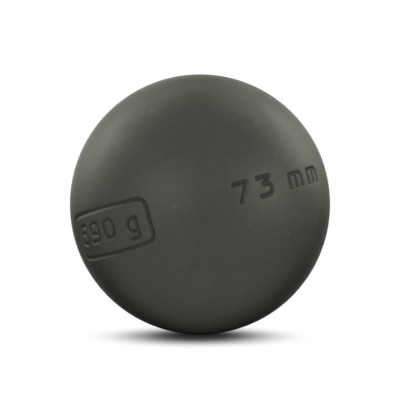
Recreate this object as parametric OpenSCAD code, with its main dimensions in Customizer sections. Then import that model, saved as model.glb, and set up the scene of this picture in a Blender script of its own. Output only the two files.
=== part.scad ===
// Petanque boule: two pressed steel half shells, centred by a lip, welded and turned to one sphere.
// The origin is the ball's centre, +Z points up as the ball lies, and -Y is the side with the marks.
// The joint plane is XZ. Lengths are in millimetres and angles in degrees.

/* [Ball] */
// Outside diameter
ball_d = 73; // [70.5:0.5:80]
// Thickness of the wall, which sets the mass
wall = 6.29; // [5.4:0.01:7.2]

/* [Locating lip] */
// Thickness of the lip on the rear shell, which centres the front shell
lip_t = 2; // [1.2:0.1:3]
// How far the lip reaches past the joint plane
lip_reach = 3; // [2:0.1:4.5]
// Gap round the outside of the lip
lip_side_gap = 0.1; // [0.05:0.01:0.3]
// Gap past the end of the lip
lip_end_gap = 0.3; // [0.1:0.05:0.6]
// Chamfer that leads the lip in
lip_lead = 0.5; // [0.2:0.1:0.9]

/* [Weld groove] */
// Gap between the two edges at the bottom of the groove
root_gap = 1.2; // [0.6:0.1:2]
// Slope of each edge away from the joint plane
bevel_angle = 25; // [15:1:35]

/* [Engraving] */
// Diameter of the round-nosed cutter
cutter_d = 1.2; // [1:0.1:1.4]
// Depth of the grooves
mark_depth = 0.45; // [0.2:0.05:0.5]
// Height of a figure, between the middles of its strokes
figure_h = 4.8; // [4.2:0.1:5.2]
// Width of a figure, between the middles of its strokes
figure_w = 3.6; // [3.2:0.1:4]
// Height of a small letter
letter_h = 3.4; // [3:0.1:3.8]
// Width of a g
letter_w = 2.8; // [2.4:0.1:3.2]
// How far the tail of a g hangs below the line
tail_h = 1.8; // [1.6:0.1:2]
// Distance between the stems of an m
stem_step = 2.4; // [2.2:0.1:2.8]
// Radius of the bends in the small letters
bend_r = 1; // [0.8:0.1:1.2]

/* [Mark of the mass] */
// Mass in grams, as the figures give it
marked_mass = "690"; // [650, 660, 670, 680, 690, 700, 710, 720, 730, 740, 750, 760, 770, 780, 790, 800]
// Gap between its figures
mass_gap = 2.4; // [2:0.1:2.8]
// How far its figures sit above the middle of the border
mass_lift = 0.4; // [0:0.1:0.8]
// Length of the border
border_l = 31; // [30:0.5:34]
// Height of the border
border_h = 11.6; // [11.2:0.1:14]
// Radius of the corners of the border
border_r = 2.5; // [1.5:0.1:4]
// Angle of its middle round the ring, from the front
mass_longitude = -46; // [-50:1:-40]

/* [Mark of the diameter] */
// Diameter in millimetres, as the figures give it
marked_size = "73"; // [71, 72, 73, 74, 75, 76, 77, 78, 79, 80]
// Gap between its figures
size_gap = 3.2; // [2.4:0.1:3.6]
// Angle of its middle round the ring, from the front
size_longitude = 38; // [30:1:42]

/* [Ring of the marks] */
// How far the ring that both marks lie on rises to the right
ring_roll = 16; // [-20:1:20]

/* [Hidden] */
$fn = 180;

ball_r = ball_d / 2;
cavity_r = ball_r - wall;
lip_r = cavity_r + lip_t;
socket_r = lip_r + lip_side_gap;
socket_depth = lip_reach + lip_end_gap;
over = 1; // how far a cutting outline runs past what it cuts

steel = [0.27, 0.27, 0.25];
weld_steel = [0.34, 0.33, 0.31];

cutter_fn = 32;
cutter_r = cutter_d / 2;
cutter_path_r = ball_r - mark_depth + cutter_r;
// The cutter dwells at the end of a stroke and leaves it a little wider.
dwell_share = 1.03;
dwell_r = cutter_r * dwell_share;

// A stroke that ends at the side of another stops short of its middle, so that the grooves just overlap.
short_share = 1.4;
short = cutter_r * short_share;

// Places in a figure, as shares of its width or height
bowl_share = 0.6;
one_flag_share = 0.3;
three_waist_share = 0.4;
four_bar_share = 0.3;
seven_foot_share = 0.3;
tail_end_share = 0.1;

top_r = figure_w / 2; // round top of a wide figure
bowl_r = figure_h * bowl_share / 2; // round side of a bowl
letter_r = letter_h / 2; // round side of a g

// Half width of the weld groove at a distance from the ball's axis
function groove_half_w(r) = root_gap / 2 + (r - socket_r) * tan(bevel_angle);

function unit(v) = v / norm(v);

// A figure or letter is a list of strokes on a flat sheet, from its lower left corner. A stroke with two
// points is straight. One with three runs anticlockwise from the first to the second about the third.
// No more than two strokes share an end.
function strokes_of(name, w = figure_w, h = figure_h, r = bowl_r) =
    name == "0" ? [
        [[w, top_r], [w, h - top_r]],
        [[w, h - top_r], [0, h - top_r], [top_r, h - top_r]],
        [[0, h - top_r], [0, top_r]],
        [[0, top_r], [w, top_r], [top_r, top_r]]] :
    name == "1" ? [
        [[w / 2, 0], [w / 2, h]],
        [[w / 2, h], [0, h - h * one_flag_share]]] :
    name == "2" ? [
        [[w, h - top_r], [0, h - top_r], [top_r, h - top_r]],
        [[w, h - top_r], [0, 0]],
        [[0, 0], [w, 0]]] :
    name == "3" ? [
        [[0, h], [w, h]],
        [[w, h], [w * three_waist_share, 2 * r]],
        [[w * three_waist_share, 2 * r], [w - r, 2 * r]],
        [[w - r, 0], [w - r, 2 * r], [w - r, r]],
        [[0, 0], [w - r, 0]]] :
    name == "4" ? [
        [[w, 0], [w, h]],
        [[w, h], [0, h * four_bar_share]],
        [[0, h * four_bar_share], [w - short, h * four_bar_share]]] :
    name == "5" ? [
        [[w, h], [0, h]],
        [[0, h], [0, 2 * r]],
        [[0, 2 * r], [w - r, 2 * r]],
        [[w - r, 0], [w - r, 2 * r], [w - r, r]],
        [[0, 0], [w - r, 0]]] :
    name == "6" ? [
        [[w, h], [top_r, h]],
        [[top_r, h], [0, h - top_r], [top_r, h - top_r]],
        [[0, h - top_r], [0, r]],
        [[0, r], [r, 0], [r, r]],
        [[r, 0], [w - r, 0]],
        [[w - r, 0], [w - r, 2 * r], [w - r, r]],
        [[w - r, 2 * r], [short, 2 * r]]] :
    name == "7" ? [
        [[0, h], [w, h]],
        [[w, h], [w * seven_foot_share, 0]]] :
    name == "8" ? [
        [[r, 0], [w - r, 0]],
        [[w - r, 0], [w - r, 2 * r], [w - r, r]],
        [[w - r, 2 * r], [r, 2 * r]],
        [[r, 2 * r], [r, 0], [r, r]],
        [[w - r / 2, 2 * r + short], [w - r, h], [w / 2, 2 * r]],
        [[w - r, h], [r, h]],
        [[r, h], [r / 2, 2 * r + short], [w / 2, 2 * r]]] :
    name == "9" ? [for (stroke = strokes_of("6")) [for (p = stroke) [w, h] - p]] :
    name == "g" ? [
        [[letter_w - short, 0], [letter_r, 0]],
        [[letter_r, letter_h], [letter_r, 0], [letter_r, letter_r]],
        [[letter_r, letter_h], [letter_w, letter_h]],
        [[letter_w, letter_h], [letter_w, bend_r - tail_h]],
        [[letter_w - bend_r, -tail_h], [letter_w, bend_r - tail_h], [letter_w - bend_r, bend_r - tail_h]],
        [[letter_w * tail_end_share, -tail_h], [letter_w - bend_r, -tail_h]]] :
    name == "m" ? [
        [[0, 0], [0, letter_h]],
        [[0, letter_h], [2 * stem_step - bend_r, letter_h]],
        [[2 * stem_step, letter_h - bend_r], [2 * stem_step - bend_r, letter_h],
         [2 * stem_step - bend_r, letter_h - bend_r]],
        [[2 * stem_step, letter_h - bend_r], [2 * stem_step, 0]],
        [[stem_step, letter_h - short], [stem_step, 0]]] :
    [];

function width_of(name) = name == "g" ? letter_w : name == "m" ? 2 * stem_step : name == " " ? 0 : figure_w;

// Where a figure starts in its word, counted from the word's first stroke
function start_of(word, gap, i) = i == 0 ? 0 : start_of(word, gap, i - 1) + width_of(word[i - 1]) + gap;

// Moves strokes on the flat sheet
function moved(strokes, shift) = [for (stroke = strokes) [for (p = stroke) p + shift]];

// Direction from the ball's centre to a place of the flat sheet, wrapped along the ring from a longitude
function on_ball(p, longitude) =
    let (east = longitude + p.x / ball_r * 180 / PI, north = p.y / ball_r * 180 / PI)
    [sin(east) * cos(north), -cos(east) * cos(north), sin(north)];

// Runs the cutter over the ball from a direction, anticlockwise about an axis through the centre
module sweep(axis, from, angle) {
    height = axis * from;
    x_axis = unit(from - height * axis);
    y_axis = cross(axis, x_axis);
    multmatrix([
        [x_axis.x, y_axis.x, axis.x, 0],
        [x_axis.y, y_axis.y, axis.y, 0],
        [x_axis.z, y_axis.z, axis.z, 0],
        [0, 0, 0, 1]])
        rotate_extrude(angle = angle)
            translate([cutter_path_r * norm(from - height * axis), cutter_path_r * height])
                circle(r = cutter_r, $fn = cutter_fn);
}

module straight_stroke(from, to) {
    sweep(unit(cross(from, to)), from, acos(from * to));
}

// The axis is the nearest one to the given centre that is equally far from both ends.
module round_stroke(from, to, centre) {
    chord = to - from;
    axis = unit(centre - (centre * chord) / (chord * chord) * chord);
    a = from - (from * axis) * axis;
    b = to - (to * axis) * axis;
    turn = atan2(cross(a, b) * axis, a * b);
    sweep(axis, from, turn > 0 ? turn : turn + 360);
}

module stroke_end(place) {
    translate(cutter_path_r * place)
        sphere(r = dwell_r, $fn = cutter_fn);
}

module cut_strokes(strokes, longitude) {
    for (stroke = strokes) {
        ends = [on_ball(stroke[0], longitude), on_ball(stroke[1], longitude)];
        if (len(stroke) == 2)
            straight_stroke(ends[0], ends[1]);
        else
            round_stroke(ends[0], ends[1], on_ball(stroke[2], longitude));
        for (end = ends)
            stroke_end(end);
    }
}

module cut_word(word, gap, longitude, lift) {
    word_w = start_of(word, gap, len(word)) - gap;
    for (i = [0:len(word) - 1])
        cut_strokes(
            moved(strokes_of(word[i]), [start_of(word, gap, i) - word_w / 2, lift - figure_h / 2]),
            longitude);
}

// Rounded border round the mass
module cut_border() {
    x = border_l / 2;
    y = border_h / 2;
    r = border_r;
    cut_strokes([
        [[r - x, -y], [x - r, -y]],
        [[x - r, -y], [x, r - y], [x - r, r - y]],
        [[x, r - y], [x, y - r]],
        [[x, y - r], [x - r, y], [x - r, y - r]],
        [[x - r, y], [r - x, y]],
        [[r - x, y], [-x, y - r], [r - x, y - r]],
        [[-x, y - r], [-x, r - y]],
        [[-x, r - y], [r - x, -y], [r - x, r - y]]], mass_longitude);
}

module marks() {
    rotate([0, -ring_roll, 0]) {
        cut_border();
        cut_word(str(marked_mass, " g"), mass_gap, mass_longitude, mass_lift);
        cut_word(str(marked_size, " mm"), size_gap, size_longitude, 0);
    }
}

// Turns a half section of the wall round the ball's axis, which points along +Y of the part
module turned() {
    rotate([-90, 90, 0])
        rotate_extrude()
            children();
}

// Section of the weld groove, open to the outside
module groove_section() {
    far_r = ball_r + over;
    polygon([
        [lip_r, -root_gap / 2],
        [socket_r, -root_gap / 2],
        [far_r, -groove_half_w(far_r)],
        [far_r, groove_half_w(far_r)],
        [socket_r, root_gap / 2],
        [lip_r, root_gap / 2]]);
}

module weld_bead() {
    color(weld_steel)
        turned()
            intersection() {
                circle(r = ball_r);
                groove_section();
            }
}

// Half section of the wall on the far side of the joint plane, past the bevelled edge
module edge_section() {
    far_r = ball_r + over;
    difference() {
        intersection() {
            circle(r = ball_r);
            polygon([
                [0, root_gap / 2],
                [socket_r, root_gap / 2],
                [far_r, groove_half_w(far_r)],
                [far_r, far_r],
                [0, far_r]]);
        }
        circle(r = cavity_r);
    }
}

module lip_section() {
    difference() {
        polygon([
            [0, -lip_reach],
            [lip_r - lip_lead, -lip_reach],
            [lip_r, lip_lead - lip_reach],
            [lip_r, root_gap],
            [0, root_gap]]);
        circle(r = cavity_r);
    }
}

module rear_half_shell() {
    color(steel)
        turned() {
            edge_section();
            lip_section();
        }
}

module front_half_shell() {
    color(steel)
        difference() {
            mirror([0, 1, 0])
                turned()
                    difference() {
                        edge_section();
                        square([socket_r, socket_depth]);
                    }
            marks();
        }
}

front_half_shell();
rear_half_shell();
weld_bead();
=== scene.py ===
"""Petanque boule in dark satin steel, with its mass and diameter engraved, on a pale studio floor.

Lengths are in metres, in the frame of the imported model: the origin is the middle of the ball, +Z points
up, and -Y is the side with the marks. The half shells are centred on the Y axis and meet at y = 0. Only
the drawing of the marks on their flat sheet is in mm.
"""

import math

import bpy
import numpy as np
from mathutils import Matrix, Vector


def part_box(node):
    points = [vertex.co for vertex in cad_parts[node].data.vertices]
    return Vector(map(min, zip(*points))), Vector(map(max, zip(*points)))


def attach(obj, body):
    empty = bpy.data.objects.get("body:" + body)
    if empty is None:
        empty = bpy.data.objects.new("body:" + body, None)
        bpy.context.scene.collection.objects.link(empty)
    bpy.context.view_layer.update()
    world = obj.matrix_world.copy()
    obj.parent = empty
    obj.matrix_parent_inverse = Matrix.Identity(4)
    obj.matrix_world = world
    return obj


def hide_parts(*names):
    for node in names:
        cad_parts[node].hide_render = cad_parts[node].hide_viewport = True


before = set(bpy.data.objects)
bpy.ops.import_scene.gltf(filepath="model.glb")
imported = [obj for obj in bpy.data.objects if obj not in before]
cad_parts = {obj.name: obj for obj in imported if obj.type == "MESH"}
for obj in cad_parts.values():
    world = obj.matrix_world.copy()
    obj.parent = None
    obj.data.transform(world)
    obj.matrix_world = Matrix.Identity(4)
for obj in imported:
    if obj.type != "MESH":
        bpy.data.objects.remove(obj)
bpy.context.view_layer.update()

MM = 0.001

# Lowest and highest corners of the CAD half shells. What is read from them is rounded to a micrometre.
FRONT_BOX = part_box("front_half_shell")
REAR_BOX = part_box("rear_half_shell")

# Ball and wall
BALL_R = round(REAR_BOX[1].y, 6)
WALL = 6.29 * MM
CAVITY_R = BALL_R - WALL

# Locating lip on the rear shell, and the socket that takes it
LIP_WALL = 2 * MM
LIP_R = CAVITY_R + LIP_WALL
LIP_REACH = round(-REAR_BOX[0].y, 6)
LIP_LEAD = 0.5 * MM
LIP_SIDE_GAP = 0.1 * MM
LIP_END_GAP = 0.3 * MM
SOCKET_R = LIP_R + LIP_SIDE_GAP
SOCKET_DEPTH = LIP_REACH + LIP_END_GAP

# Weld groove: half its width at the bottom, and the slope of its sides
ROOT_HALF = round(-FRONT_BOX[1].y, 6)
BEVEL = math.tan(math.radians(25))

# Cross-section of the engraved grooves, and how much their depth varies along the strokes
GROOVE_DEPTH = 0.45 * MM
GROOVE_HALF = 0.5 * MM
GROOVE_POWER = 2.3
GROOVE_RUN_OUT = 2.5 * GROOVE_HALF
WAVER_SHARE = 0.05
WAVER_WAVES = np.array([[210.0, 90.0, 160.0], [-70.0, 150.0, 120.0]])

# Figures and letters, in mm between the middles of their strokes
CUTTER_R = 0.6
FIGURE_H = 4.8
FIGURE_W = 3.6
LETTER_H = 3.4
LETTER_W = 2.8
TAIL_H = 1.8
STEM_STEP = 2.4
BEND_R = 1.0

# Places in a figure, as shares of its width or height, and of the cutter's radius for a stroke that
# ends at the side of another
BOWL_SHARE = 0.6
THREE_WAIST_SHARE = 0.4
SEVEN_FOOT_SHARE = 0.3
TAIL_END_SHARE = 0.1
SHORT_SHARE = 1.4

# Mark of the mass and its border, mark of the diameter, in mm and in degrees round the ring
MASS_WORD = "690 g"
MASS_GAP = 2.4
MASS_LIFT = 0.4
MASS_LONGITUDE = -46.0
BORDER_W = 31.0
BORDER_H = 11.6
BORDER_R = 2.5
SIZE_WORD = "73 mm"
SIZE_GAP = 3.2
SIZE_LONGITUDE = 38.0
RING_ROLL = math.radians(16)

# Degrees between the lines of the engraved mesh, where the marks are and elsewhere
DENSE_STEP = 0.25
COARSE_STEP = 2.5

# Points along the round parts of the profiles, and round the axis
SHELL_OUTSIDE_POINTS = 72
BEAD_OUTSIDE_POINTS = 13
FRONT_INSIDE_POINTS = 30
REAR_INSIDE_POINTS = 40
AROUND_POINTS = 241

# Points closer than this become one
SAME_POINT = 1e-5 * MM


def groove_edge():
    """Distance from the joint plane to where a side of the weld groove meets the outside of the ball.

    It is the y that solves y = ROOT_HALF + (sqrt(BALL_R^2 - y^2) - SOCKET_R) * BEVEL. Each round comes
    closer, and 40 settle the last digit.
    """
    y = 0.0
    for _ in range(40):
        y = ROOT_HALF + (math.sqrt(BALL_R**2 - y * y) - SOCKET_R) * BEVEL
    return y


EDGE_Y = groove_edge()
EDGE_R = math.sqrt(BALL_R**2 - EDGE_Y**2)


def unit(v):
    """v / |v|, along the last axis."""
    return v / np.linalg.norm(v, axis=-1, keepdims=True)


def ring_direction(east, north):
    """(sin e cos n, -cos e cos n, sin n), for angles in radians, then turned by RING_ROLL about Y.

    East 0, north 0 points at the viewer, and the ring of the marks rises to the right.
    """
    x = np.sin(east) * np.cos(north)
    y = -np.cos(east) * np.cos(north)
    z = np.sin(north) + 0 * east
    c, s = math.cos(RING_ROLL), math.sin(RING_ROLL)
    return np.stack([c * x - s * z, y, s * x + c * z], -1)


def figure_strokes(name):
    """Strokes of a figure or letter on a flat sheet, in mm, from its lower left corner.

    Two points give a straight stroke, and three give one that runs anticlockwise from the first to the
    second about the third.
    """
    w, h, top = FIGURE_W, FIGURE_H, FIGURE_W / 2
    bowl, letter = FIGURE_H * BOWL_SHARE / 2, LETTER_H / 2
    waist = FIGURE_W * THREE_WAIST_SHARE
    short = CUTTER_R * SHORT_SHARE
    if name == "0":
        return [
            [(w, top), (w, h - top)],
            [(w, h - top), (0, h - top), (top, h - top)],
            [(0, h - top), (0, top)],
            [(0, top), (w, top), (top, top)],
        ]
    if name == "3":
        return [
            [(0, h), (w, h)],
            [(w, h), (waist, 2 * bowl)],
            [(waist, 2 * bowl), (w - bowl, 2 * bowl)],
            [(w - bowl, 0), (w - bowl, 2 * bowl), (w - bowl, bowl)],
            [(0, 0), (w - bowl, 0)],
        ]
    if name == "6":
        return [
            [(w, h), (top, h)],
            [(top, h), (0, h - top), (top, h - top)],
            [(0, h - top), (0, bowl)],
            [(0, bowl), (bowl, 0), (bowl, bowl)],
            [(bowl, 0), (w - bowl, 0)],
            [(w - bowl, 0), (w - bowl, 2 * bowl), (w - bowl, bowl)],
            [(w - bowl, 2 * bowl), (short, 2 * bowl)],
        ]
    if name == "7":
        return [[(0, h), (w, h)], [(w, h), (w * SEVEN_FOOT_SHARE, 0)]]
    if name == "9":
        return [[(w - x, h - y) for x, y in stroke] for stroke in figure_strokes("6")]
    if name == "g":
        return [
            [(LETTER_W - short, 0), (letter, 0)],
            [(letter, LETTER_H), (letter, 0), (letter, letter)],
            [(letter, LETTER_H), (LETTER_W, LETTER_H)],
            [(LETTER_W, LETTER_H), (LETTER_W, BEND_R - TAIL_H)],
            [
                (LETTER_W - BEND_R, -TAIL_H),
                (LETTER_W, BEND_R - TAIL_H),
                (LETTER_W - BEND_R, BEND_R - TAIL_H),
            ],
            [(LETTER_W * TAIL_END_SHARE, -TAIL_H), (LETTER_W - BEND_R, -TAIL_H)],
        ]
    if name == "m":
        end = 2 * STEM_STEP
        return [
            [(0, 0), (0, LETTER_H)],
            [(0, LETTER_H), (end - BEND_R, LETTER_H)],
            [(end, LETTER_H - BEND_R), (end - BEND_R, LETTER_H), (end - BEND_R, LETTER_H - BEND_R)],
            [(end, LETTER_H - BEND_R), (end, 0)],
            [(STEM_STEP, LETTER_H - short), (STEM_STEP, 0)],
        ]
    return []


def figure_width(name):
    """Width of a figure or letter on the flat sheet, in mm."""
    return {"g": LETTER_W, "m": 2 * STEM_STEP, " ": 0.0}.get(name, FIGURE_W)


def word_width(word, gap):
    """Width of a word on the flat sheet, in mm, with a gap between its figures."""
    return sum(figure_width(name) + gap for name in word) - gap


def word_strokes(word, gap, lift):
    """The strokes of a word, centred on the ring."""
    strokes, start = [], -word_width(word, gap) / 2
    for name in word:
        for stroke in figure_strokes(name):
            strokes.append([(x + start, y + lift - FIGURE_H / 2) for x, y in stroke])
        start += figure_width(name) + gap
    return strokes


def border_strokes():
    """Four straight sides and four quarter circles of a rounded border."""
    x, y, r = BORDER_W / 2, BORDER_H / 2, BORDER_R
    return [
        [(r - x, -y), (x - r, -y)],
        [(x - r, -y), (x, r - y), (x - r, r - y)],
        [(x, r - y), (x, y - r)],
        [(x, y - r), (x - r, y), (x - r, y - r)],
        [(x - r, y), (r - x, y)],
        [(r - x, y), (-x, y - r), (r - x, y - r)],
        [(-x, y - r), (-x, r - y)],
        [(-x, r - y), (r - x, -y), (r - x, r - y)],
    ]


def on_ball(point, longitude):
    """Wraps a point of the flat sheet along the ring: an arc becomes an angle of length / radius."""
    x, y = point
    east = math.radians(longitude) + x * MM / BALL_R
    return ring_direction(np.float64(east), np.float64(y * MM / BALL_R))


STROKES = [
    [on_ball(point, longitude) for point in stroke]
    for strokes, longitude in (
        (border_strokes() + word_strokes(MASS_WORD, MASS_GAP, MASS_LIFT), MASS_LONGITUDE),
        (word_strokes(SIZE_WORD, SIZE_GAP, 0.0), SIZE_LONGITUDE),
    )
    for stroke in strokes
]


def angle_to(direction, place):
    """Angle between unit vectors, as 2 asin(|a - b| / 2), which stays exact near zero."""
    return 2 * np.arcsin(np.clip(np.linalg.norm(direction - place, axis=-1) / 2, 0, 1))


def stroke_angle(direction, stroke):
    """Angle from each direction to a stroke.

    Beside a straight stroke, a great circle from a to b with the pole n, it is |asin(d . n)|. Beside a
    round one, a circle about the axis c, it is |acos(d . c) - acos(a . c)|. Elsewhere it is the angle to
    the nearer end.
    """
    a, b = stroke[0], stroke[1]
    ends = np.minimum(angle_to(direction, a), angle_to(direction, b))
    if len(stroke) == 2:
        pole = unit(np.cross(a, b))
        beside = (direction @ np.cross(pole, a) >= 0) & (direction @ np.cross(b, pole) >= 0)
        side = np.abs(np.arcsin(np.clip(direction @ pole, -1, 1)))
        return np.where(beside, side, ends)
    chord = b - a
    axis = unit(stroke[2] - (stroke[2] @ chord) / (chord @ chord) * chord)
    x_axis = unit(a - (a @ axis) * axis)
    y_axis = np.cross(axis, x_axis)
    turn = math.atan2(b @ y_axis, b @ x_axis) % (2 * math.pi)
    beside = np.arctan2(direction @ y_axis, direction @ x_axis) % (2 * math.pi) <= turn
    side = np.abs(np.arccos(np.clip(direction @ axis, -1, 1)) - math.acos(a @ axis))
    return np.where(beside, side, ends)


def groove_share(direction):
    """Share of the full depth: exp(-(t / GROOVE_HALF)^GROOVE_POWER), at t from the nearest stroke."""
    t = np.full(direction.shape[:-1], np.inf)
    for stroke in STROKES:
        t = np.minimum(t, BALL_R * stroke_angle(direction, stroke))
    return np.exp(-((t / GROOVE_HALF) ** GROOVE_POWER))


def groove_depth(direction):
    """Depth below the sphere. The hand of the engraver lets it vary a little along the strokes."""
    waver = np.sin(direction @ WAVER_WAVES[0]) * np.cos(direction @ WAVER_WAVES[1])
    return GROOVE_DEPTH * (1 + WAVER_SHARE * waver) * groove_share(direction)


def reach(width):
    """Half the angle, in degrees, that a mark takes up. Its width, in mm, is between outer strokes."""
    return math.degrees((width / 2 * MM + GROOVE_RUN_OUT) / BALL_R)


def front_outside():
    """Outside of the front shell, a grid of east u * e_max(n) and north n, for u from -1 to 1.

    North is asin(EDGE_R / BALL_R * sin q), for q from -90 to 90 degrees, and e_max(n) is
    acos(EDGE_Y / (BALL_R cos n)), so that the grid ends on the circle y = -EDGE_Y. The radius is BALL_R
    less the depth of the grooves, and the lines of the grid stand close where the marks are. The normal
    is d + grad(depth) / radius, from differences over a small angle. Returns the points, normals, share
    of the groove's depth, and q.
    """

    def steps(*stops):
        """Evenly spaced values between the stops, each part with its own step."""
        parts = []
        for (a, step), (b, _) in zip(stops, stops[1:]):
            count = max(1, round((b - a) / step))
            parts.append(np.linspace(a, b, count, endpoint=False))
        return np.radians(np.concatenate([*parts, [stops[-1][0]]]))

    height, mass, size = reach(BORDER_H), reach(BORDER_W), reach(word_width(SIZE_WORD, SIZE_GAP))
    q = steps((-90, COARSE_STEP), (-height, DENSE_STEP), (height, COARSE_STEP), (90, None))
    e_mid = math.acos(EDGE_Y / BALL_R)
    edge = math.degrees(e_mid)
    east = steps(
        (-edge, COARSE_STEP),
        (MASS_LONGITUDE - mass, DENSE_STEP),
        (MASS_LONGITUDE + mass, COARSE_STEP),
        (SIZE_LONGITUDE - size, DENSE_STEP),
        (SIZE_LONGITUDE + size, COARSE_STEP),
        (edge, None),
    )
    north = np.arcsin(EDGE_R / BALL_R * np.sin(q))
    e_max = np.arccos(np.clip(EDGE_Y / (BALL_R * np.cos(north)), 0, 1))
    east = east[None, :] / e_mid * e_max[:, None]
    north = north[:, None] + 0 * east
    direction = ring_direction(east, north)
    share = groove_share(direction)
    radius = BALL_R - groove_depth(direction)
    east_axis = ring_direction(east + math.pi / 2, 0 * north)
    north_axis = np.cross(direction, east_axis)
    small = 1e-5
    slope = 0
    for axis in (east_axis, north_axis):
        ahead, behind = unit(direction + small * axis), unit(direction - small * axis)
        rise = (groove_depth(ahead) - groove_depth(behind)) / (2 * small)
        slope = slope + rise[..., None] * axis
    normal = unit(direction + slope / radius[..., None])
    return radius[..., None] * direction, normal, share, q


def turned_patch(profile, profile_normal, around):
    """Profile points (r, y) with normals (nr, ny), turned about the Y axis: (r cos a, y, r sin a)."""
    r, y = profile[:, 0, None], profile[:, 1, None]
    nr, ny = profile_normal[:, 0, None], profile_normal[:, 1, None]
    c, s = np.cos(around)[None, :], np.sin(around)[None, :]
    points = np.stack([r * c, y + 0 * c, r * s], -1)
    normals = np.stack([nr * c, ny + 0 * c, nr * s], -1)
    return points, normals, np.zeros(points.shape[:2])


def arc_profile(radius, y_from, y_to, count, outward):
    """A part of the circle r^2 + y^2 = radius^2 between two heights, evenly spaced by angle."""
    a = np.linspace(math.asin(y_from / radius), math.asin(y_to / radius), count)
    ray = np.stack([np.cos(a), np.sin(a)], -1)
    ray[:, 0] = np.where(ray[:, 0] < 1e-12, 0, ray[:, 0])
    return radius * ray, ray if outward else -ray


def line_profile(start, end, towards):
    """A straight part of a profile. Its normal is square to it, on the side of the given (r, y)."""
    start, end = np.array(start), np.array(end)
    along = unit(end - start)
    normal = np.array([along[1], -along[0]])
    if normal @ np.array(towards) < 0:
        normal = -normal
    return np.stack([start, end]), np.stack([normal, normal])


def sew(name, patches, materials):
    """One mesh from grids of points. Quad (i, j) joins points (i, j), (i+1, j), (i+1, j+1), (i, j+1).

    Points that coincide become one, and a quad with two such corners becomes a triangle. A corner keeps
    the normal of its own grid, so an edge between two grids is sharp. Each patch is its points, normals,
    share of the groove's depth, and index of its material. One quad in its middle, set against the
    normals, tells which way round its corners go.
    """
    points, normals, shares, quads, slots = [], [], [], [], []
    start = 0
    for grid, grid_normals, share, material in patches:
        rows, columns = grid.shape[:2]
        index = start + np.arange(rows * columns).reshape(rows, columns)
        a, b, c, d = index[:-1, :-1], index[1:, :-1], index[1:, 1:], index[:-1, 1:]
        i, j = rows // 2 - (rows == 2), columns // 2
        across = np.cross(grid[i + 1, j] - grid[i, j], grid[i, j + 1] - grid[i, j])
        order = (a, b, c, d) if across @ grid_normals[i, j] > 0 else (a, d, c, b)
        quads.append(np.stack(order, -1).reshape(-1, 4))
        slots.append(np.full(len(quads[-1]), material))
        points.append(grid.reshape(-1, 3))
        normals.append(grid_normals.reshape(-1, 3))
        shares.append(share.reshape(-1))
        start += rows * columns
    points, normals, shares, quads, slots = map(np.concatenate, (points, normals, shares, quads, slots))
    cells = np.round(points / SAME_POINT).astype(np.int64)
    _, first, place = np.unique(cells, axis=0, return_index=True, return_inverse=True)
    corners = place.reshape(-1)[quads]
    kept = corners != np.roll(corners, 1, axis=1)
    whole = kept.sum(1) >= 3
    corners, kept, quads, slots = corners[whole], kept[whole], quads[whole], slots[whole]
    counts = kept.sum(1)

    mesh = bpy.data.meshes.new(name)
    mesh.vertices.add(len(first))
    mesh.vertices.foreach_set("co", points[first].astype(np.float32).reshape(-1))
    mesh.loops.add(int(counts.sum()))
    mesh.loops.foreach_set("vertex_index", corners[kept].astype(np.int32))
    mesh.polygons.add(len(counts))
    mesh.polygons.foreach_set("loop_start", (np.cumsum(counts) - counts).astype(np.int32))
    mesh.polygons.foreach_set("material_index", slots.astype(np.int32))
    mesh.polygons.foreach_set("use_smooth", np.ones(len(counts), bool))
    mesh.update(calc_edges=True)
    engraved = mesh.attributes.new("engraved", "FLOAT", "POINT")
    engraved.data.foreach_set("value", shares[first].astype(np.float32))
    mesh.normals_split_custom_set(normals[quads[kept]].astype(np.float32))
    for material in materials:
        mesh.materials.append(material)
    piece = bpy.data.objects.new(name, mesh)
    bpy.context.scene.collection.objects.link(piece)
    return piece


OUTSIDE, MACHINED, PRESSED = 0, 1, 2


def front_half_shell(materials):
    """The engraved outside, then the bevel, the socket and the pressed inside, turned about Y.

    The turned parts take their steps round the axis from the edge of the engraved grid, which they meet.
    """
    points, normals, share, q = front_outside()
    rim = np.concatenate([q, math.pi - q[::-1][1:]])
    around = np.concatenate([rim, [rim[0] + 2 * math.pi]]) + RING_ROLL
    socket_floor = math.sqrt(CAVITY_R**2 - SOCKET_DEPTH**2)
    profiles = [
        (*line_profile((EDGE_R, -EDGE_Y), (SOCKET_R, -ROOT_HALF), (0, 1)), MACHINED),
        (*line_profile((SOCKET_R, -ROOT_HALF), (SOCKET_R, -SOCKET_DEPTH), (-1, 0)), MACHINED),
        (*line_profile((SOCKET_R, -SOCKET_DEPTH), (socket_floor, -SOCKET_DEPTH), (0, 1)), MACHINED),
        (*arc_profile(CAVITY_R, -SOCKET_DEPTH, -CAVITY_R, FRONT_INSIDE_POINTS, False), PRESSED),
    ]
    patches = [(points, normals, share, OUTSIDE)]
    patches += [(*turned_patch(p, n, around), material) for p, n, material in profiles]
    return sew("front_half_shell_engraved", patches, materials)


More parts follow.
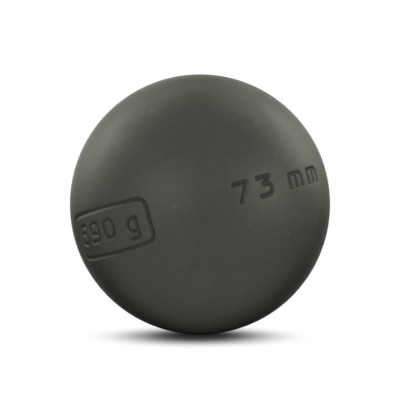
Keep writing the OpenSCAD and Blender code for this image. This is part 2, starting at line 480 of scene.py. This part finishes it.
def rear_half_shell(materials, around):
    """Plain outside, bevel, land, locating lip with its lead, and pressed inside, turned about Y."""
    lip_end = math.sqrt(CAVITY_R**2 - LIP_REACH**2)
    lead_start, lead_end = (LIP_R, LIP_LEAD - LIP_REACH), (LIP_R - LIP_LEAD, -LIP_REACH)
    profiles = [
        (*arc_profile(BALL_R, EDGE_Y, BALL_R, SHELL_OUTSIDE_POINTS, True), OUTSIDE),
        (*line_profile((EDGE_R, EDGE_Y), (SOCKET_R, ROOT_HALF), (0, -1)), MACHINED),
        (*line_profile((SOCKET_R, ROOT_HALF), (LIP_R, ROOT_HALF), (0, -1)), MACHINED),
        (*line_profile((LIP_R, ROOT_HALF), lead_start, (1, 0)), MACHINED),
        (*line_profile(lead_start, lead_end, (1, -1)), MACHINED),
        (*line_profile(lead_end, (lip_end, -LIP_REACH), (0, -1)), MACHINED),
        (*arc_profile(CAVITY_R, -LIP_REACH, CAVITY_R, REAR_INSIDE_POINTS, False), PRESSED),
    ]
    patches = [(*turned_patch(p, n, around), material) for p, n, material in profiles]
    return sew("rear_half_shell_plain", patches, materials)


def weld_bead(materials, around):
    """The ring of weld metal, flush with the outside: an arc, two bevels and the root on the lip."""
    profiles = [
        (*arc_profile(BALL_R, -EDGE_Y, EDGE_Y, BEAD_OUTSIDE_POINTS, True), OUTSIDE),
        (*line_profile((EDGE_R, -EDGE_Y), (SOCKET_R, -ROOT_HALF), (0, -1)), MACHINED),
        (*line_profile((SOCKET_R, -ROOT_HALF), (LIP_R, -ROOT_HALF), (0, -1)), MACHINED),
        (*line_profile((LIP_R, -ROOT_HALF), (LIP_R, ROOT_HALF), (-1, 0)), MACHINED),
        (*line_profile((SOCKET_R, ROOT_HALF), (LIP_R, ROOT_HALF), (0, 1)), MACHINED),
        (*line_profile((EDGE_R, EDGE_Y), (SOCKET_R, ROOT_HALF), (0, 1)), MACHINED),
    ]
    patches = [(*turned_patch(p, n, around), material) for p, n, material in profiles]
    return sew("weld_bead_turned_flush", patches, materials)


def add_node(tree, kind, place, **values):
    """A shader node at a place of the editor, with its properties and unlinked inputs set by name."""
    node = tree.nodes.new(kind)
    node.location = place
    for key, value in values.items():
        if key in node.bl_rna.properties:
            setattr(node, key, value)
        else:
            node.inputs[key].default_value = value
    return node


def add_socket(group, name, kind, way, value=None):
    """An input or output of a node group, with its starting value."""
    socket = group.interface.new_socket(name=name, in_out=way, socket_type=kind)
    if value is not None:
        socket.default_value = value


# Sizes of the grain, the mottle, the clouds and the rub marks in the finish
GRAIN_SIZE = 0.35 * MM
MOTTLE_SIZE = 1.8 * MM
CLOUD_SIZE = 12 * MM
RUB_SIZE = 1.1 * MM

# Rub marks slant, are drawn out to twice their width, and show where the clouds lie between two levels
RUB_SLANT = math.radians(-45)
RUB_SQUEEZE = (1 / 2, 1, 1)
RUB_LEVELS = (-0.03, 0.12)

# Size of the cells that may hold a speck, the share of a cell that it takes, and the chance of none
SPECK_CELL = 6 * MM
SPECK_REACH = 0.15
SPECK_NONE = 0.5

# Painted shade in the grooves: shares of a groove's depth at which the darker floor starts and is full,
# and how dark it then is
GROOVE_PAINTED_SHADE = (0.08, 0.8, 0.76)

# How much the unevenness changes the colour, and the mottle and the grooves the roughness
TONE_GAIN = 4
MOTTLE_ROUGHNESS = 0.12
GROOVE_ROUGHNESS = 0.12

# Heights of the mottle and the clouds, with the grain's as 1
MOTTLE_HEIGHT = 4.0
CLOUD_HEIGHT = 14.0


def satin_finish():
    """Node group: the blasted and darkened finish, from grain to clouds, rub marks and specks, and
    painted shade on the floors of the grooves.

    Sizes are wavelengths in metres turned into noise scales of 1 / size.
    """
    group = bpy.data.node_groups.new("satin_finish", "ShaderNodeTree")
    add_socket(group, "Vector", "NodeSocketVector", "INPUT")
    add_socket(group, "Color", "NodeSocketColor", "INPUT", (0.05, 0.05, 0.05, 1))
    add_socket(group, "Speck Color", "NodeSocketColor", "INPUT", (0.3, 0.3, 0.28, 1))
    add_socket(group, "Roughness", "NodeSocketFloat", "INPUT", 0.5)
    add_socket(group, "Clouds", "NodeSocketFloat", "INPUT", 0.05)
    add_socket(group, "Mottle", "NodeSocketFloat", "INPUT", 0.05)
    add_socket(group, "Engraved", "NodeSocketFloat", "INPUT", 0.0)
    add_socket(group, "Color", "NodeSocketColor", "OUTPUT")
    add_socket(group, "Roughness", "NodeSocketFloat", "OUTPUT")
    add_socket(group, "Height", "NodeSocketFloat", "OUTPUT")
    link = group.links.new
    given = add_node(group, "NodeGroupInput", (-1400, 0))
    out = add_node(group, "NodeGroupOutput", (900, 0))

    def noise(size, detail, roughness, place, vector=given.outputs["Vector"]):
        """Noise of a wavelength, from 0 to 1."""
        node = add_node(group, "ShaderNodeTexNoise", place)
        for key, value in (("Scale", 1 / size), ("Detail", detail), ("Roughness", roughness)):
            node.inputs[key].default_value = value
        link(vector, node.inputs["Vector"])
        return node.outputs["Fac"]

    def smooth_step(value, ends, place):
        """A smooth step of a value. The ends are where it starts and stops, and the results there."""
        node = add_node(group, "ShaderNodeMapRange", place, interpolation_type="SMOOTHSTEP")
        for key, number in zip(("From Min", "From Max", "To Min", "To Max"), ends):
            node.inputs[key].default_value = number
        link(value, node.inputs["Value"])
        return node.outputs["Result"]

    def math_node(operation, first, second, place, third=None, clamp=False):
        """A sum of sockets and plain numbers."""
        node = add_node(group, "ShaderNodeMath", place, operation=operation, use_clamp=clamp)
        for socket, value in zip(node.inputs, (first, second, third)):
            if isinstance(value, (int, float)):
                socket.default_value = value
            elif value is not None:
                link(value, socket)
        return node.outputs[0]

    clouds = math_node("SUBTRACT", noise(CLOUD_SIZE, 2, 0.5, (-1100, 400)), 0.5, (-900, 400))
    mottle = math_node("SUBTRACT", noise(MOTTLE_SIZE, 3, 0.75, (-1100, 200)), 0.5, (-900, 200))
    grain = noise(GRAIN_SIZE, 2, 0.5, (-1100, 0))
    uneven = math_node("MULTIPLY", clouds, given.outputs["Clouds"], (-700, 400))
    uneven = math_node("MULTIPLY_ADD", mottle, given.outputs["Mottle"], (-500, 300), third=uneven)

    # Faint rub marks: a noise drawn out along one slanting direction, in patches
    turned = add_node(group, "ShaderNodeVectorRotate", (-1500, 700), rotation_type="Y_AXIS")
    turned.inputs["Angle"].default_value = RUB_SLANT
    drawn_out = add_node(group, "ShaderNodeVectorMath", (-1300, 700), operation="MULTIPLY")
    drawn_out.inputs[1].default_value = RUB_SQUEEZE
    link(given.outputs["Vector"], turned.inputs["Vector"])
    link(turned.outputs["Vector"], drawn_out.inputs[0])
    rubs = noise(RUB_SIZE, 2, 0.7, (-1100, 700), drawn_out.outputs[0])
    rubs = math_node("SUBTRACT", rubs, 0.5, (-900, 700))
    patches = smooth_step(clouds, (*RUB_LEVELS, 0, 1), (-700, 600))
    rubs = math_node("MULTIPLY", rubs, patches, (-500, 700))
    uneven = math_node("MULTIPLY_ADD", rubs, given.outputs["Mottle"], (-400, 400), third=uneven)
    uneven = math_node("MULTIPLY_ADD", uneven, TONE_GAIN, (-300, 300), third=1.0)

    # Pale specks where the dark finish is worn, in the middle of some cells, some fainter than others
    cells = add_node(group, "ShaderNodeTexVoronoi", (-1100, -250), Scale=1 / SPECK_CELL, Randomness=1.0)
    link(given.outputs["Vector"], cells.inputs["Vector"])
    chance = add_node(group, "ShaderNodeSeparateColor", (-900, -350))
    link(cells.outputs["Color"], chance.inputs["Color"])
    worn = add_node(group, "ShaderNodeMapRange", (-700, -350))
    worn.inputs["From Min"].default_value = SPECK_NONE
    link(chance.outputs["Red"], worn.inputs["Value"])
    spot = smooth_step(cells.outputs["Distance"], (0, SPECK_REACH, 1, 0), (-900, -150))
    speck = math_node("MULTIPLY", spot, worn.outputs["Result"], (-500, -250))

    # Grooves: painted shade, a darker colour on their floors
    start, full, dark = GROOVE_PAINTED_SHADE
    floor = smooth_step(given.outputs["Engraved"], (start, full, 1, dark), (-900, -550))
    shade = math_node("MULTIPLY", uneven, floor, (-100, 100))

    toned = add_node(group, "ShaderNodeVectorMath", (100, 100), operation="SCALE")
    link(given.outputs["Color"], toned.inputs[0])
    link(shade, toned.inputs["Scale"])
    chips = add_node(group, "ShaderNodeMix", (400, 100), data_type="RGBA")
    link(speck, chips.inputs["Factor"])
    link(toned.outputs[0], chips.inputs["A"])
    link(given.outputs["Speck Color"], chips.inputs["B"])
    rough, engraved = given.outputs["Roughness"], given.outputs["Engraved"]
    rough = math_node("MULTIPLY_ADD", mottle, MOTTLE_ROUGHNESS, (100, -100), third=rough)
    rough = math_node("MULTIPLY_ADD", engraved, GROOVE_ROUGHNESS, (300, -100), third=rough, clamp=True)
    height = math_node("MULTIPLY_ADD", mottle, MOTTLE_HEIGHT, (100, -300), third=grain)
    height = math_node("MULTIPLY_ADD", clouds, CLOUD_HEIGHT, (200, -350), third=height)
    height = math_node("ADD", rubs, height, (250, -400))
    height = math_node("SUBTRACT", height, speck, (300, -300))
    link(chips.outputs["Result"], out.inputs["Color"])
    link(rough, out.inputs["Roughness"])
    link(height, out.inputs["Height"])
    return group


FINISH = satin_finish()


def steel(
    name, color, speck_color, roughness, clouds, mottle, metallic=1.0, tint=(1, 1, 1), bump=0.01 * MM
):
    """A steel with the shared finish. The bump is the height of the grain."""
    material = bpy.data.materials.new(name)
    material.use_nodes = True
    tree = material.node_tree
    shader = tree.nodes["Principled BSDF"]
    shader.inputs["Metallic"].default_value = metallic
    shader.inputs["Specular Tint"].default_value = (*tint, 1)
    place = add_node(tree, "ShaderNodeTexCoord", (-900, 200))
    groove = add_node(tree, "ShaderNodeAttribute", (-900, -100), attribute_type="GEOMETRY")
    groove.attribute_name = "engraved"
    finish = add_node(tree, "ShaderNodeGroup", (-600, 100))
    finish.node_tree = FINISH
    for key, value in (
        ("Color", (*color, 1)),
        ("Speck Color", (*speck_color, 1)),
        ("Roughness", roughness),
        ("Clouds", clouds),
        ("Mottle", mottle),
    ):
        finish.inputs[key].default_value = value
    relief = add_node(tree, "ShaderNodeBump", (-300, -150), Strength=1.0, Distance=bump)
    tree.links.new(place.outputs["Object"], finish.inputs["Vector"])
    tree.links.new(groove.outputs["Fac"], finish.inputs["Engraved"])
    tree.links.new(finish.outputs["Color"], shader.inputs["Base Color"])
    tree.links.new(finish.outputs["Roughness"], shader.inputs["Roughness"])
    tree.links.new(finish.outputs["Height"], relief.inputs["Height"])
    tree.links.new(relief.outputs["Normal"], shader.inputs["Normal"])
    return material


# How much of the light that grazes the dark finish comes back
RIM_TINT = (0.3776, 0.38, 0.3842)
PALE_SPECK = (0.09, 0.09, 0.082)
STEEL = steel(
    "dark_satin_steel",
    color=(0.0619, 0.0611, 0.0520),
    speck_color=PALE_SPECK,
    roughness=0.44,
    clouds=0.05,
    mottle=0.08,
    tint=RIM_TINT,
)
WELD = steel(
    "weld_steel_turned",
    color=(0.0639, 0.0631, 0.0540),
    speck_color=PALE_SPECK,
    roughness=0.42,
    clouds=0.05,
    mottle=0.08,
    tint=RIM_TINT,
)
BARE = steel(
    "machined_bare_steel",
    color=(0.45, 0.44, 0.42),
    speck_color=(0.2, 0.19, 0.18),
    roughness=0.35,
    clouds=0.02,
    mottle=0.04,
)
SCALE = steel(
    "pressed_steel_with_scale",
    color=(0.12, 0.11, 0.10),
    speck_color=(0.16, 0.1, 0.07),
    roughness=0.6,
    clouds=0.1,
    mottle=0.1,
    metallic=0.8,
    bump=0.03 * MM,
)

AROUND = np.linspace(0, 2 * math.pi, AROUND_POINTS)
front = front_half_shell([STEEL, BARE, SCALE])
rear = rear_half_shell([STEEL, BARE, SCALE], AROUND)
bead = weld_bead([WELD, BARE], AROUND)
for piece, node, slot in (
    (front, "front_half_shell", "shell_steel"),
    (rear, "rear_half_shell", "shell_steel"),
    (bead, "weld_bead", "weld_steel"),
):
    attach(piece, "root")
    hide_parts(node)

# Floor: a disc of rings and spokes, under the ball
FLOOR_Z = -BALL_R
FLOOR_R = 1.2
INNER_RING_R = 10 * MM
FLOOR_RINGS = 24
FLOOR_SPOKES = 96
# The camera and reflections see this matt grey only inside the painted shadows, where it sets how dark
# they are
FLOOR_GREY = 0.28

# Contact shadows: one that the camera sees and one that the ball mirrors. Inside each the floor's white
# gives way to the matt grey, which holds the ball's real shadow, so the camera's shadow is partly real
# and partly painted shadow in the shape of its fade. The mirrored one, far longer from left to right, is
# painted shadow that only reflections see, and it darkens the lower sides of the ball. Each gives the
# place (x, y) of its middle, its depth as a share of its width, the depths at which it starts and stops
# to fade, and its darkest value
SEEN_SHADOW = ((-0.7 * MM, -5 * MM), 0.9, 4.6 * MM, 31.1 * MM, 0.01)
MIRRORED_PAINTED_SHADOW = ((0, 6 * MM), 0.18, 9 * MM, 28 * MM, 0)


def floor_disc():
    """A flat disc: rings (r cos a, r sin a) that grow by a constant factor from the middle outwards."""
    radii = np.concatenate([[0], np.geomspace(INNER_RING_R, FLOOR_R, FLOOR_RINGS)])
    around = np.linspace(0, 2 * math.pi, FLOOR_SPOKES + 1)
    r, a = radii[:, None], around[None, :]
    points = np.stack([r * np.cos(a), r * np.sin(a), FLOOR_Z + 0 * r * a], -1)
    normals = np.zeros_like(points)
    normals[..., 2] = 1
    return points, normals, np.zeros(points.shape[:2]), 0


def camera_rays(tree, place):
    """1 for camera rays, else 0."""
    return add_node(tree, "ShaderNodeLightPath", place).outputs["Is Camera Ray"]


def mirrored_rays(tree, place):
    """1 for glossy and transmission rays, else 0."""
    x, y = place
    path = add_node(tree, "ShaderNodeLightPath", (x, y))
    either = add_node(tree, "ShaderNodeMath", (x + 200, y), operation="MAXIMUM")
    tree.links.new(path.outputs["Is Glossy Ray"], either.inputs[0])
    tree.links.new(path.outputs["Is Transmission Ray"], either.inputs[1])
    return either.outputs[0]


def beyond_painted_shadow(tree, place, middle, depth_share, near, far, darkest):
    """Share of white on the floor: the darkest value in the middle of a painted contact shadow, 1 beyond
    it, and a smooth step between.
    """
    x, y = place
    point = add_node(tree, "ShaderNodeTexCoord", (x, y))
    shrunk = add_node(tree, "ShaderNodeVectorMath", (x + 200, y), operation="MULTIPLY")
    shrunk.inputs[1].default_value = (depth_share, 1, 1)
    distance = add_node(tree, "ShaderNodeVectorMath", (x + 400, y), operation="DISTANCE")
    distance.inputs[1].default_value = (middle[0] * depth_share, middle[1], FLOOR_Z)
    share = add_node(tree, "ShaderNodeMapRange", (x + 600, y), interpolation_type="SMOOTHERSTEP")
    share.inputs["From Min"].default_value = near
    share.inputs["From Max"].default_value = far
    share.inputs["To Min"].default_value = darkest
    tree.links.new(point.outputs["Object"], shrunk.inputs[0])
    tree.links.new(shrunk.outputs[0], distance.inputs[0])
    tree.links.new(distance.outputs["Value"], share.inputs["Value"])
    return share.outputs["Result"]


def floor_material():
    """Pale floor, white beyond a painted shadow for the camera and, beyond another painted shadow, for
    what mirrors it; inside them the matt grey floor shows.
    """
    material = bpy.data.materials.new("pale_floor")
    material.use_nodes = True
    tree = material.node_tree
    tree.nodes.clear()
    link = tree.links.new
    shares = []
    for y, seen, shadow in ((300, camera_rays, SEEN_SHADOW), (-200, mirrored_rays, MIRRORED_PAINTED_SHADOW)):
        share = add_node(tree, "ShaderNodeMath", (-500, y), operation="MULTIPLY")
        link(beyond_painted_shadow(tree, (-1400, y), *shadow), share.inputs[0])
        link(seen(tree, (-1400, y - 250)), share.inputs[1])
        shares.append(share.outputs[0])
    both = add_node(tree, "ShaderNodeMath", (-300, 0), operation="ADD")
    matt = add_node(tree, "ShaderNodeBsdfDiffuse", (-300, 200), Color=(*[FLOOR_GREY] * 3, 1))
    white = add_node(tree, "ShaderNodeEmission", (-300, -200), Color=(1, 1, 1, 1), Strength=1.0)
    mix = add_node(tree, "ShaderNodeMixShader", (-50, 0))
    out = add_node(tree, "ShaderNodeOutputMaterial", (200, 0))
    link(shares[0], both.inputs[0])
    link(shares[1], both.inputs[1])
    link(both.outputs[0], mix.inputs[0])
    link(matt.outputs[0], mix.inputs[1])
    link(white.outputs[0], mix.inputs[2])
    link(mix.outputs[0], out.inputs["Surface"])
    return material


floor = sew("floor", [floor_disc()], [floor_material()])

# Strength of the grey room round the ball
ROOM_LEVEL = 0.5


def studio_world():
    """A plain grey room that lights the ball, seen and mirrored as white."""
    world = bpy.data.worlds.new("studio")
    bpy.context.scene.world = world
    world.use_nodes = True
    tree = world.node_tree
    tree.nodes.clear()
    seen = add_node(tree, "ShaderNodeMath", (-400, 0), operation="ADD")
    tree.links.new(camera_rays(tree, (-900, 200)), seen.inputs[0])
    tree.links.new(mirrored_rays(tree, (-900, 0)), seen.inputs[1])
    room = add_node(tree, "ShaderNodeBackground", (-200, 100), Color=(1, 1, 1, 1), Strength=ROOM_LEVEL)
    white = add_node(tree, "ShaderNodeBackground", (-200, -100), Color=(1, 1, 1, 1), Strength=1.0)
    mix = add_node(tree, "ShaderNodeMixShader", (0, 0))
    out = add_node(tree, "ShaderNodeOutputWorld", (200, 0))
    tree.links.new(seen.outputs[0], mix.inputs[0])
    tree.links.new(room.outputs[0], mix.inputs[1])
    tree.links.new(white.outputs[0], mix.inputs[2])
    tree.links.new(mix.outputs[0], out.inputs["Surface"])


# Softboxes: name, azimuth and elevation in degrees, and power. Azimuth 0 is the viewer's side, and 90
# is the right.
LAMP_DISTANCE = 0.6
LAMP_SIZE = 0.4
LAMPS = (
    ("left_side", -120, 30, 1.56),
    ("left_side_low", -130, 18, 1.68),
    ("left_back", -145, 30, 0.3),
    ("left_low", -145, 8, 0.25),
    ("left_high", -145, 52, 1.36),
    ("right_side", 120, 30, 1.58),
    ("right_side_low", 130, 18, 1.28),
    ("right_back", 145, 30, 0.93),
    ("right_high", 145, 52, 1.25),
    ("back", 180, 40, 0.7),
    ("back_left", -160, 20, 0.4),
    ("front_left", -30, 8, 0.49),
    ("front_right", 60, 8, 0.68),
)


def softbox(name, azimuth, elevation, power):
    """A square lamp that faces the ball and isn't seen by the camera."""
    lamp = bpy.data.lights.new(name, "AREA")
    lamp.shape = "SQUARE"
    lamp.size = LAMP_SIZE
    lamp.energy = power
    a, e = math.radians(azimuth), math.radians(elevation)
    away = Vector((math.sin(a) * math.cos(e), -math.cos(a) * math.cos(e), math.sin(e)))
    holder = bpy.data.objects.new(name, lamp)
    holder.visible_camera = False
    holder.location = away * LAMP_DISTANCE
    holder.rotation_euler = away.to_track_quat("Z", "Y").to_euler()
    bpy.context.scene.collection.objects.link(holder)


studio_world()
for name, azimuth, elevation, power in LAMPS:
    softbox("softbox_" + name, azimuth, elevation, power)

# Camera: level with the middle of the ball, which sits 4.3 px below the middle of the 400 px frame
CAMERA_DISTANCE = 0.3138
FOCAL_MM = 100
SENSOR_MM = 36
NEAR_CLIP = 0.01
FAR_CLIP = 20
PIXELS = 400
DROP_PX = 4.34
lens = bpy.data.cameras.new("camera")
lens.lens = FOCAL_MM
lens.sensor_width = SENSOR_MM
lens.clip_start = NEAR_CLIP
lens.clip_end = FAR_CLIP
camera = bpy.data.objects.new("camera", lens)
camera.location = (0, -CAMERA_DISTANCE, 0)
tilt = math.atan(DROP_PX / (PIXELS * FOCAL_MM / SENSOR_MM))
camera.rotation_euler = (math.pi / 2 + tilt, 0, 0)
bpy.context.scene.collection.objects.link(camera)
bpy.context.scene.camera = camera

bpy.context.scene.view_settings.view_transform = "Standard"
